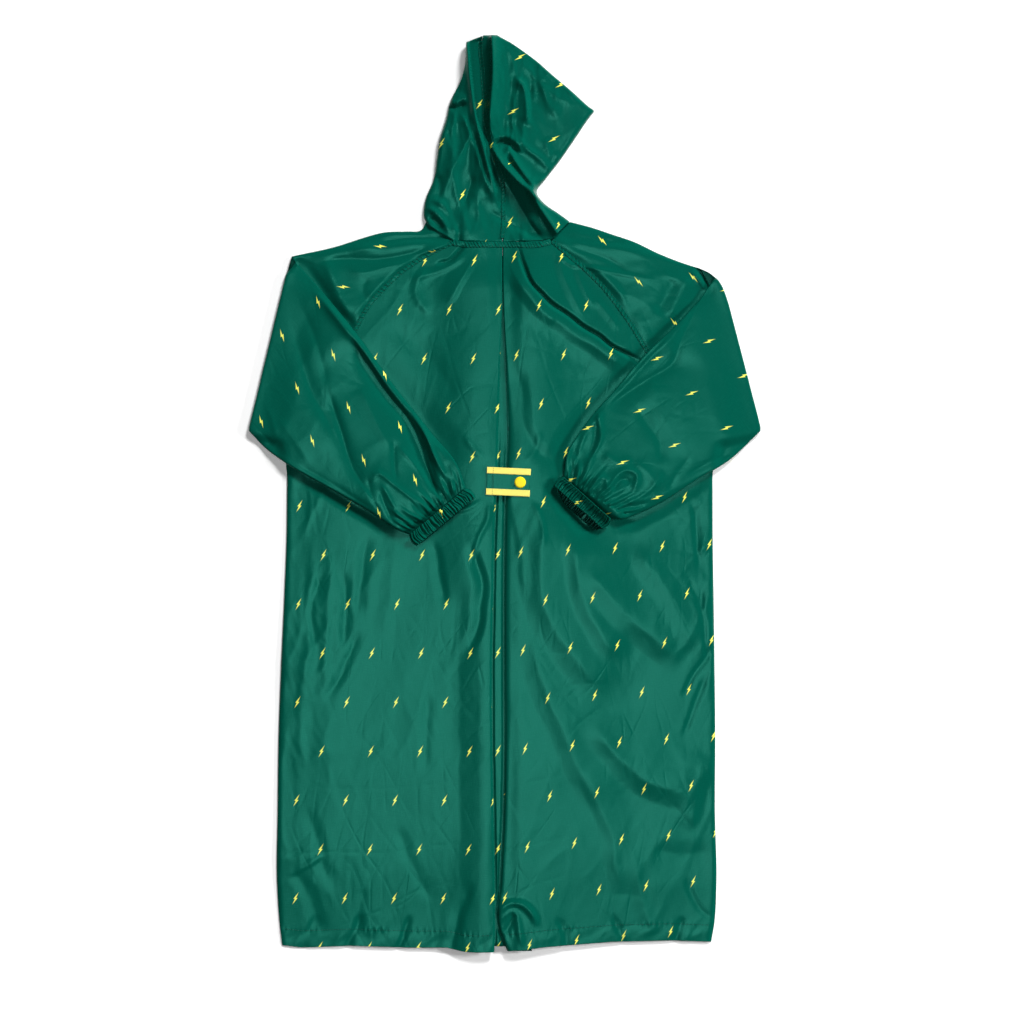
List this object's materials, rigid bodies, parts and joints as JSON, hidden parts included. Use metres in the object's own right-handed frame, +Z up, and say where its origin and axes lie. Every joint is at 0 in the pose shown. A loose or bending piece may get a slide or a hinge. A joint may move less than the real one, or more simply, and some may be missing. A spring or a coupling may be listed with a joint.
{
  "type": "rain jacket",
  "caption": "Child's hooded rain jacket in thin coated nylon, laid flat on its front with raglan sleeves folded across the back, a box pleat and a snapped tab.",
  "frame": {"origin": "the middle of the jacket's outline, on the surface that it lies on", "axes": "+Y up the back towards the hood, +X towards the wearer's right, +Z up from the surface, out of the jacket's back"},
  "size_m": [0.5662, 1.0092, 0.0123],
  "materials": {
    "green_cloth": "glossy coated nylon taffeta with small printed yellow bolts",
    "yellow_tape": "matt woven tape",
    "yellow_snap": "gloss"
  },
  "bodies": {
    "root": {"back_left": "green_cloth", "back_right": "green_cloth", "back_pleat": "green_cloth", "front_left": "green_cloth", "front_right": "green_cloth", "front_placket": "green_cloth", "sleeve_left": "green_cloth", "sleeve_right": "green_cloth", "cuff_left": "green_cloth", "cuff_right": "green_cloth", "hood_left": "green_cloth", "hood_right": "green_cloth", "tab": "green_cloth", "tab_tape_upper": "yellow_tape", "tab_tape_lower": "yellow_tape", "tab_snap": "yellow_snap", "front_snap_1": "yellow_snap", "front_snap_2": "yellow_snap", "front_snap_3": "yellow_snap", "front_snap_4": "yellow_snap", "front_snap_5": "yellow_snap"}
  },
  "joints": []
}
